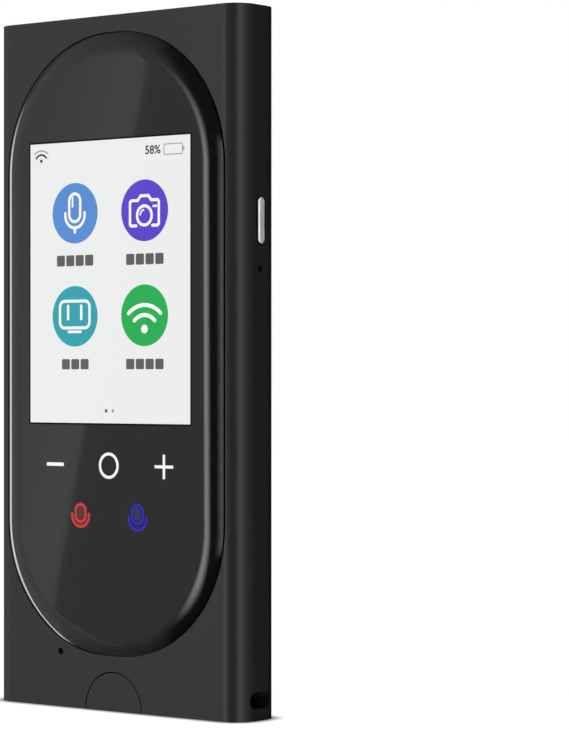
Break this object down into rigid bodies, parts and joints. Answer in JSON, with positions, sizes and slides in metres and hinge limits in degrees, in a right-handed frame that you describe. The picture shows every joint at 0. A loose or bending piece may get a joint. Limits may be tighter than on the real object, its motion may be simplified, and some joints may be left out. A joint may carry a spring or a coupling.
{
  "type": "handheld translator",
  "caption": "Slim pocket translator with a raised stadium glass, small screen, touch keys, sprung side button, hinged port cover, rear camera and arc speaker slots.",
  "frame": {"origin": "under the middle of the bottom end, centred on the whole width and on the whole thickness with the raised glass", "axes": "+Z along the length towards the top end, -Y out of the screen, +X towards the side with the button"},
  "size_m": [0.0569, 0.012, 0.1205],
  "materials": {
    "housing_plastic": "fine satin black",
    "cover_paint": "satin graphite",
    "clear_glass": "polished, printed black behind",
    "black_print": "opaque black print",
    "foam_tape": "thin foam tape",
    "screen": "lit screen",
    "light_unit": "white light guide",
    "ribbon": "amber film",
    "film_white": "lit white film",
    "film_red": "lit red film",
    "film_blue": "lit blue film",
    "circuit_board": "solder mask",
    "lamp": "clear lamp",
    "frame_metal": "die cast",
    "screw_steel": "plain",
    "chip": "moulded",
    "connector": "moulded",
    "battery_foil": "foil pouch",
    "lead_red": "insulated wire",
    "gasket_rubber": "soft seal",
    "speaker_plastic": "moulded",
    "mesh_fabric": "woven mesh",
    "bezel_metal": "dark anodised",
    "lens_glass": "blue coated",
    "button_chrome": "bright silver",
    "switch_plastic": "moulded",
    "flap_plastic": "fine satin black"
  },
  "bodies": {
    "housing": {"front_housing": "housing_plastic", "rear_cover": "cover_paint", "cover_glass": "clear_glass", "glass_print": "black_print", "glass_tape": "foam_tape", "lcd_panel": "screen", "lcd_backlight": "light_unit", "lcd_flex": "ribbon", "key_film": "film_white", "talk_film_left": "film_red", "talk_film_right": "film_blue", "key_board": "circuit_board", "key_lights": "lamp", "key_ribbon": "ribbon", "inner_frame": "frame_metal", "frame_screws": "screw_steel", "main_board": "circuit_board", "board_screws": "screw_steel", "shield_can": "screw_steel", "board_chips": "chip", "board_connectors": "connector", "battery": "battery_foil", "battery_tape": "foam_tape", "battery_lead": "lead_red", "port_board": "circuit_board", "port_screws": "screw_steel", "usb_port": "screw_steel", "link_ribbon": "ribbon", "microphone": "frame_metal", "microphone_gasket": "gasket_rubber", "loudspeaker": "speaker_plastic", "speaker_gasket": "gasket_rubber", "speaker_mesh": "mesh_fabric", "camera_module": "speaker_plastic", "camera_ring": "bezel_metal", "camera_window": "lens_glass", "power_switch": "screw_steel", "reset_switch": "screw_steel", "side_board": "circuit_board", "flap_pin": "screw_steel", "radio_antenna": "ribbon"},
    "button": {"power_button": "button_chrome", "power_plunger": "switch_plastic"},
    "reset_key": {"reset_plunger": "switch_plastic"},
    "port_cover": {"port_flap": "flap_plastic"}
  },
  "joints": [
    {"name": "power_press", "type": "slide", "parent": "housing", "child": "button", "axis": [-1, 0, 0], "range_m": [0, 0.0003], "stiffness_N_per_m": 4000, "springref_m": -0.0002},
    {"name": "reset_press", "type": "slide", "parent": "housing", "child": "reset_key", "axis": [-1, 0, 0], "range_m": [0, 0.0002], "stiffness_N_per_m": 5000, "springref_m": -0.0001},
    {"name": "port_cover_hinge", "type": "hinge", "parent": "housing", "child": "port_cover", "pos_m": [0, 0.0032, 0.00085], "axis": [1, 0, 0], "range_deg": [0, 100]}
  ]
}
